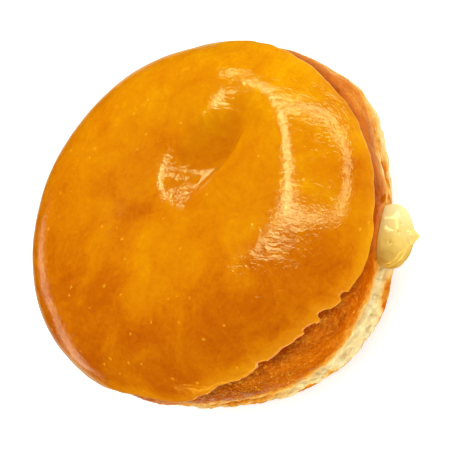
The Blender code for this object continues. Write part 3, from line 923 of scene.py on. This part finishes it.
# Paints the pale edge line, partly painted light
pale_edge_and_light = add(tree, "Attribute", attribute_name="rim").outputs["Fac"]
edged = add(tree, "Mix", {"Factor": pale_edge_and_light}, data_type="RGBA")
tree.links.new(speckled.outputs["Result"], edged.inputs["A"])
edged.inputs["B"].default_value = srgb(EDGE_PALE_AND_LIGHT_COLOUR)
raised = add(tree, "Math", {0: streaks.outputs["Fac"], 1: speck.outputs[0]}, operation="ADD")
peel = add(tree, "Bump", {"Height": raised.outputs[0]}, Strength=0.8, Distance=0.06 * MM)
peel = add(
    tree, "Bump", {"Height": fine.outputs["Fac"], "Normal": peel.outputs[0]}, Strength=1.0, Distance=0.09 * MM
)
skin_folds = add(
    tree, "TexNoise", {"Vector": where}, Scale=1 / (1.4 * MM), Detail=1.0, Roughness=0.5, Distortion=1.2
)
puckers = add(tree, "Attribute", attribute_name="puckered").outputs["Fac"]
peel = add(
    tree,
    "Bump",
    {"Height": skin_folds.outputs["Fac"], "Strength": puckers, "Normal": peel.outputs[0]},
    Distance=0.22 * MM,
)
bead = add(tree, "Attribute", attribute_name="bead").outputs["Fac"]
polish = add(tree, "MapRange", {"Value": bead}, From_Min=0.0, From_Max=1.0, To_Min=0.06, To_Max=0.13)
shader = add(
    tree,
    "BsdfPrincipled",
    {"Base Color": edged.outputs["Result"], "Normal": peel.outputs[0], "Roughness": polish.outputs[0]},
    IOR=1.48,
)
add(tree, "OutputMaterial", {"Surface": shader.outputs[0]})

glaze = piece("glaze_skin", glaze_mesh, syrup)
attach(glaze, "root")
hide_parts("glaze")

# The cream: thick egg custard piped into the side through a nozzle. What came back out stands at the hole
# as a round swell with the peak that it was drawn to when the nozzle left.
CREAM_TURNS = 300
HOLE_HEIGHT = 15.3
HOLE_RADIUS = 4.3
WALL_OUT = 44.0
SWELL_OUT = 6.8
SWELL_DEPTH = 5.4
SWELL_HALF_WIDTH = 8.0
SWELL_HALF_HEIGHT = 6.4
PEAK_OUT = 8.8
PEAK_RADIUS = 2.3
POCKET_CENTRE_OUT = 2.0
POCKET_HALF_LENGTH = 19.0
POCKET_HALF_WIDTH = 17.0
POCKET_HALF_HEIGHT = 8.0
NECK_START = -3.4
NECK_END = -20.0
SWELL_END_ANGLE = 2.5
POCKET_START_ANGLE = 0.4
POCKET_END_ANGLE = math.pi - 0.02
PEAK_STEPS = 10
SWELL_RINGS = 90
NECK_RINGS = 8
POCKET_RINGS = 22
# The peak's section: distance back from its tip, and radius
PEAK_LINE = ((0.0, 0.12), (0.3, 0.55), (1.1, 1.2), (1.9, 2.1))
# Where the swell turns round towards its peak, and where the swell and the pocket widen from the neck. The
# pocket's distances go inwards.
PEAK_TAPER = (4.0, SWELL_OUT)
SWELL_TAPER = (-3.5, -1.5)
POCKET_TAPER = (16.0, 30.0)
# The unevenness starts at the mouth of the hole and goes outwards from the swell's middle
MOUTH = (-1.0, 1.0)
SWELL_MIDDLE_OUT = 1.0
# Ripples of the swell, as wavelength, seed and height, and the pits that air left in it
CREAM_WAVES = ((5.0, 41, 0.05), (1.6, 42, 0.004))
CREAM_PITS = ((-0.3, -49.3, 19.6), (-3.2, -48.0, 20.4), (2.2, -49.6, 19.0))
PIT_RADIUS = 0.42
PIT_DEPTH = 0.45


def cream_outline():
    """Distance out from the hole's mouth and half height: from the tip of the peak over the swell, back
    into the wall, along the neck and round the pocket."""
    centre = SWELL_OUT - SWELL_DEPTH
    peak = smooth_line([(PEAK_OUT - back, radius) for back, radius in PEAK_LINE], PEAK_STEPS)
    start = np.arcsin(PEAK_RADIUS / SWELL_HALF_HEIGHT)
    angle = np.linspace(start, SWELL_END_ANGLE, SWELL_RINGS)
    swell = np.stack([centre + SWELL_DEPTH * np.cos(angle), SWELL_HALF_HEIGHT * np.sin(angle)], axis=1)
    neck_radius = HOLE_RADIUS - GAP
    neck = np.array([(out, neck_radius) for out in np.linspace(NECK_START, NECK_END, NECK_RINGS)])
    angle = np.linspace(POCKET_START_ANGLE, POCKET_END_ANGLE, POCKET_RINGS)
    deep = -(WALL_OUT - POCKET_CENTRE_OUT)
    pocket = np.stack([deep + POCKET_HALF_LENGTH * np.cos(angle), POCKET_HALF_HEIGHT * np.sin(angle)], axis=1)
    return np.vstack([peak[:-1], swell, neck, pocket])


outline = cream_outline()
round_hole = np.linspace(0, 2 * np.pi, CREAM_TURNS, endpoint=False)
out, turn = np.meshgrid(outline[:, 0], round_hole, indexing="ij")
half = np.broadcast_to(outline[:, 1:2], out.shape)
# The neck and the peak are round, and the swell and the pocket are wider than high
at_swell = (1 - smoothstep(out, *PEAK_TAPER)) * smoothstep(out, *SWELL_TAPER)
wide = 1 + (SWELL_HALF_WIDTH / SWELL_HALF_HEIGHT - 1) * at_swell
wide = wide + (POCKET_HALF_WIDTH / POCKET_HALF_HEIGHT - 1) * smoothstep(-out, *POCKET_TAPER)
x = half * np.sin(turn) * wide
z = HOLE_HEIGHT - half * np.cos(turn)
swell = np.stack([x, -(WALL_OUT + out), z], axis=-1)
outside = smoothstep(out, *MOUTH)[..., None]
middle = np.array([0.0, -(WALL_OUT + SWELL_MIDDLE_OUT), HOLE_HEIGHT])
way = swell - middle
way = way / np.linalg.norm(way, axis=-1, keepdims=True)
uneven_swell = roughness(swell, CREAM_WAVES)
for pit in CREAM_PITS:
    apart = np.linalg.norm(swell - np.array(pit), axis=-1)
    uneven_swell = uneven_swell - PIT_DEPTH * bell(apart, 0.0, PIT_RADIUS)
swell = swell + way * outside * uneven_swell[..., None]
cream_mesh = closed_skin("cream_swell", swell + SHIFT)

# Egg custard set with starch: opaque and smooth, lit a little from within, with a wet sheen. It is painted
# darker and a deeper yellow towards minus X, as shade on its side away from the light.
CREAM_COLOURS_AND_SHADE = ((0.1, "C8983A"), (0.45, "F2CF6C"), (0.9, "FEEAA6"))
custard, tree = new_material("pastry_cream")
where = add(tree, "TexCoord").outputs["Object"]
lumps = add(tree, "TexNoise", {"Vector": where}, Scale=1 / (2.2 * MM), Detail=3.0, Roughness=0.5)
lumpy = add(
    tree, "MapRange", {"Value": lumps.outputs["Fac"]}, From_Min=0.3, From_Max=0.7, To_Min=-0.07, To_Max=0.07
)
across = add(tree, "SeparateXYZ", {"Vector": where}).outputs["X"]
# Painted shade: darker and deeper yellow towards minus X, the side away from the light
painted_shade_across = add(
    tree, "MapRange", {"Value": across}, From_Min=-8.0 * MM, From_Max=6.0 * MM, To_Min=0.1, To_Max=0.9
)
mixed = add(tree, "Math", {0: lumpy.outputs[0], 1: painted_shade_across.outputs[0]}, operation="ADD", use_clamp=True)
colour = add(tree, "ValToRGB", {"Fac": mixed.outputs[0]}, stops=CREAM_COLOURS_AND_SHADE)
bump = add(tree, "Bump", {"Height": lumps.outputs["Fac"]}, Strength=0.08, Distance=0.15 * MM)
shader = add(
    tree,
    "BsdfPrincipled",
    {"Base Color": colour.outputs["Color"], "Normal": bump.outputs[0]},
    Roughness=0.08,
    IOR=1.5,
)
shader.inputs["Subsurface Weight"].default_value = 0.3
shader.inputs["Subsurface Radius"].default_value = (1.0, 0.75, 0.3)
shader.inputs["Subsurface Scale"].default_value = 1.5 * MM
add(tree, "OutputMaterial", {"Surface": shader.outputs[0]})

cream = piece("cream_swell", cream_mesh, custard)
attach(cream, "root")
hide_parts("cream")

# The studio: a white floor and an even white surround that the gloss doesn't mirror, one large soft light
# that shows in the matt colours alone, and tubes, strips and sheets of light that show in the gloss alone.
FLOOR_HALF_SIDE = 3.0
FLOOR_GLOW = 0.55
FLOOR_COLOURS = ((0.3, "F6F6F5"), (0.7, "FAFAF9"))
SURROUND = 0.95

square = ((-1, -1), (1, -1), (1, 1), (-1, 1))
floor_mesh = bpy.data.meshes.new("floor")
floor_mesh.from_pydata([(x * FLOOR_HALF_SIDE, y * FLOOR_HALF_SIDE, 0) for x, y in square], [], [(0, 1, 2, 3)])

# A matt board with a faint grain, lit up a little so that it stays white.
board, tree = new_material("pale_matt_board")
where = add(tree, "TexCoord").outputs["Object"]
grain = add(tree, "TexNoise", {"Vector": where}, Scale=1 / (6.0 * MM), Detail=3.0)
colour = add(tree, "ValToRGB", {"Fac": grain.outputs["Fac"]}, stops=FLOOR_COLOURS)
shader = add(tree, "BsdfPrincipled", {"Base Color": colour.outputs["Color"]}, Roughness=0.9)
shader.inputs["Specular IOR Level"].default_value = 0.0
shader.inputs["Emission Color"].default_value = (1.0, 1.0, 1.0, 1.0)
shader.inputs["Emission Strength"].default_value = FLOOR_GLOW
add(tree, "OutputMaterial", {"Surface": shader.outputs[0]})
floor = piece("floor", floor_mesh, board)
floor.visible_glossy = False

world = bpy.data.worlds.new("white_surround")
bpy.context.scene.world = world
world.use_nodes = True
background = world.node_tree.nodes["Background"]
background.inputs["Color"].default_value = (1.0, 1.0, 1.0, 1.0)
background.inputs["Strength"].default_value = SURROUND
world.cycles_visibility.glossy = False

# The place that the lights face
TARGET = (0.01, -0.03, 0.04)


def panel(name, middle, along, width, height, radiance):
    """A rectangular soft light at middle, its width along the given way and its face to the target. Its
    power is its radiance times pi times its area."""
    middle, along = Vector(middle), Vector(along).normalized()
    away = middle - Vector(TARGET)
    away = (away - along * away.dot(along)).normalized()
    light = bpy.data.lights.new(name, "AREA")
    light.shape = "RECTANGLE"
    light.size, light.size_y = width, height
    light.energy = radiance * math.pi * width * height
    obj = bpy.data.objects.new(name, light)
    bpy.context.scene.collection.objects.link(obj)
    facing = Matrix((along, away.cross(along), away)).transposed().to_4x4()
    obj.matrix_world = Matrix.Translation(middle) @ facing
    return obj


KEY_TURN = 105.0
KEY_HEIGHT = 0.82
KEY_OUT = 0.58
KEY_SIZE = 0.9
KEY_RADIANCE = 1.5
key_x, key_y = towards(KEY_TURN)
key_middle = (key_x * KEY_OUT, key_y * KEY_OUT, KEY_HEIGHT)
key = panel("key", key_middle, (-key_y, key_x, 0.0), KEY_SIZE, KEY_SIZE, KEY_RADIANCE)
key.visible_glossy = False


def gloss_tube(name, start, end, width, radiance, shade):
    """A soft light from start to end, facing the target, that shows in the gloss alone."""
    start, end = Vector(start), Vector(end)
    tube = panel(name, (start + end) / 2, end - start, (end - start).length, width, radiance)
    tube.data.color = shade
    tube.visible_diffuse = False


# The frame that the glaze mirrors as a rounded ring: its corners, taken round it, with the width and the
# brightness of the tube that starts at each
FRAME_CORNERS = (
    ((0.368, 0.060, 0.400), 0.080, 9.5),
    ((0.441, -0.150, 0.288), 0.085, 9.0),
    ((0.441, -0.249, 0.205), 0.080, 8.5),
    ((0.430, -0.320, 0.082), 0.090, 6.5),
    ((0.411, -0.346, 0.065), 0.085, 6.0),
    ((0.263, -0.458, 0.133), 0.085, 7.0),
    ((0.186, -0.492, 0.146), 0.085, 8.0),
    ((0.140, -0.496, 0.182), 0.042, 8.0),
    ((0.080, -0.394, 0.377), 0.085, 9.5),
    ((0.055, -0.189, 0.511), 0.110, 10.5),
    ((0.100, 0.032, 0.528), 0.095, 11.0),
    ((0.204, 0.000, 0.503), 0.100, 11.0),
    ((0.323, 0.015, 0.439), 0.060, 11.0),
)
# Stubs beside the frame, as ends, width and brightness. The dimple mirrors the second one.
FRAME_STUBS = (
    ((0.326, 0.100, 0.428), (0.368, 0.060, 0.400), 0.065, 7.0),
    ((0.412, 0.180, 0.268), (0.442, 0.112, 0.240), 0.060, 10.0),
    ((0.064, 0.050, 0.532), (0.096, 0.112, 0.512), 0.045, 9.5),
)
TUBE_COLOUR = (0.85, 1.0, 0.42)

sides = []
for number, (corner, width, radiance) in enumerate(FRAME_CORNERS):
    sides.append((corner, FRAME_CORNERS[(number + 1) % len(FRAME_CORNERS)][0], width, radiance))
for number, (start, end, width, radiance) in enumerate((*sides, *FRAME_STUBS)):
    gloss_tube(f"frame_{number}", start, end, width, radiance, TUBE_COLOUR)

# Strips of light that the gloss mirrors, one along the glaze's left rim and two in the oily crust: places in
# a row, each with the width and the brightness of the tube that starts there, up to the last one's end
RIM_STRIP = (
    ((0.100, 0.530, 0.080), 0.09, 1.3),
    ((0.020, 0.520, 0.000), 0.13, 1.5),
    ((-0.075, 0.520, 0.100), 0.09, 1.9),
    ((-0.165, 0.505, 0.045), 0.10, 2.0),
    ((-0.210, 0.460, -0.120), 0.10, 1.8),
    ((-0.205, 0.410, -0.240),),
)
CRUST_STRIP = (
    ((-0.275, 0.190, -0.376), 0.030, 7.0),
    ((-0.313, 0.103, -0.377), 0.030, 9.0),
    ((-0.369, -0.083, -0.341), 0.035, 9.0),
    ((-0.260, -0.260, -0.370), 0.035, 9.0),
    ((-0.140, -0.310, -0.380), 0.030, 7.0),
    ((-0.020, -0.330, -0.390),),
)
CRUST_TOP_STRIP = (
    ((-0.420, 0.200, -0.200), 0.030, 12.0),
    ((-0.480, 0.038, -0.198), 0.035, 14.0),
    ((-0.450, -0.237, -0.152), 0.035, 14.0),
    ((-0.274, -0.381, -0.234), 0.035, 14.0),
    ((-0.100, -0.440, -0.240),),
)
RIM_COLOUR = (1.0, 0.86, 0.62)
CRUST_GLINT_COLOUR = (1.0, 0.62, 0.05)
STRIPS = (
    ("rim", RIM_STRIP, RIM_COLOUR),
    ("crust", CRUST_STRIP, CRUST_GLINT_COLOUR),
    ("crust_top", CRUST_TOP_STRIP, CRUST_GLINT_COLOUR),
)
for kind, strip, shade in STRIPS:
    for number, ((start, width, radiance), (end, *_)) in enumerate(zip(strip, strip[1:])):
        gloss_tube(f"{kind}_{number}", start, end, width, radiance, shade)

# Sheets of light, as name, middle, width, height, brightness and colour: a warm gloss on the crust of the
# cream's side, and a thin light line round the far outline
SHEETS = (
    ("side_sheet", (0.30, -0.03, -0.10), 0.50, 0.24, 0.7, (1.0, 0.80, 0.30)),
    ("edge_sheet", (0.16, 0.32, -0.42), 0.62, 0.50, 0.7, (1.0, 0.85, 0.50)),
)
for name, middle, width, height, radiance, shade in SHEETS:
    sheet = panel(name, middle, (1.0, 0.0, 0.0), width, height, radiance)
    sheet.data.color = shade
    sheet.visible_diffuse = False

bpy.context.scene.view_settings.view_transform = "Standard"

# The camera looks down at the doughnut from 55 degrees above the floor, turned so that the cream points to
# the right of the picture.
AXIS = Vector((SHIFT[0], SHIFT[1], 0.0)) * MM
LOOK_DOWN = math.radians(55.0)
NEAR_TURN = -28.0
PICTURE_ROLL = math.radians(33.0)
DISTANCE = 0.6
LOOK_HEIGHT = 0.022
PIXELS_PER_MM = 4.069
PICTURE = 450
AXIS_PIXEL = (214.0, 227.6)

near = Vector((*towards(NEAR_TURN), 0.0))
back = near * math.cos(LOOK_DOWN) + Vector((0, 0, math.sin(LOOK_DOWN)))
up = Vector((0, 0, math.cos(LOOK_DOWN))) - near * math.sin(LOOK_DOWN)
right = up.cross(back)
picture_x = right * math.sin(PICTURE_ROLL) - up * math.cos(PICTURE_ROLL)
picture_y = right * math.cos(PICTURE_ROLL) + up * math.sin(PICTURE_ROLL)
aim = AXIS + Vector((0, 0, LOOK_HEIGHT))
aim += picture_x * ((PICTURE / 2 - AXIS_PIXEL[0]) / PIXELS_PER_MM * MM)
aim -= picture_y * ((PICTURE / 2 - AXIS_PIXEL[1]) / PIXELS_PER_MM * MM)
camera = bpy.data.cameras.new("camera")
camera.sensor_width = 36.0
camera.lens = PIXELS_PER_MM / MM * DISTANCE / PICTURE * camera.sensor_width
camera_object = bpy.data.objects.new("camera", camera)
bpy.context.scene.collection.objects.link(camera_object)
facing = Matrix((picture_x, picture_y, back)).transposed().to_4x4()
camera_object.matrix_world = Matrix.Translation(aim + back * DISTANCE) @ facing
bpy.context.scene.camera = camera_object
